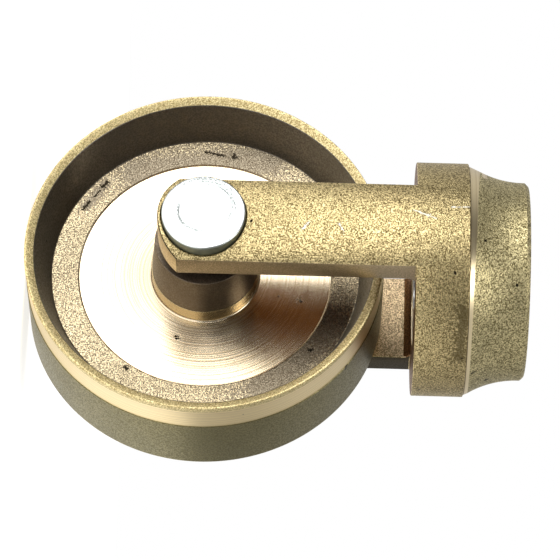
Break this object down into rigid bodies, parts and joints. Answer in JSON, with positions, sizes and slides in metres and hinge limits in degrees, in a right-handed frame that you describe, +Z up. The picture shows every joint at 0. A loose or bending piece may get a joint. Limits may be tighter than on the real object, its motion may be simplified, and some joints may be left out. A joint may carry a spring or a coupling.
{
  "type": "swivel castor",
  "caption": "Cast-brass swivel castor: dished wheel on a riveted axle in a two-armed fork that turns on a ball race under a coved leg collar.",
  "frame": {"origin": "centre of the leg socket's mouth, on the swivel axis", "axes": "+Z up the swivel axis, out of the leg socket; +Y along the wheel's axle, with the side seen first facing -Y; +X forward, square to both"},
  "size_m": [0.06, 0.0408, 0.0838],
  "materials": {
    "cast_brass": "sand-cast, with turned faces",
    "zinc_steel": "bright zinc plate",
    "race_steel": "satin",
    "ball_steel": "polished"
  },
  "bodies": {
    "collar_body": {"collar": "cast_brass", "upper_race": "race_steel", "king_pin": "zinc_steel", "pin_washer": "race_steel"},
    "ball_ring": {"swivel_balls": "ball_steel"},
    "fork_body": {"fork": "cast_brass", "lower_race": "race_steel", "axle_rivet": "zinc_steel"},
    "wheel_body": {"wheel": "cast_brass"}
  },
  "joints": [
    {"name": "swivel", "type": "hinge", "parent": "collar_body", "child": "fork_body", "pos_m": [0, 0, -0.0091], "axis": [0, 0, 1], "continuous": true},
    {"name": "ball_orbit", "type": "hinge", "parent": "collar_body", "child": "ball_ring", "pos_m": [0, 0, -0.0091], "axis": [0, 0, 1], "continuous": true},
    {"name": "wheel_spin", "type": "hinge", "parent": "fork_body", "child": "wheel_body", "pos_m": [0, 0, -0.0538], "axis": [0, 1, 0], "continuous": true}
  ],
  "couplings": [
    {"joint": "ball_orbit", "follows": "swivel", "ratio": 0.5}
  ]
}
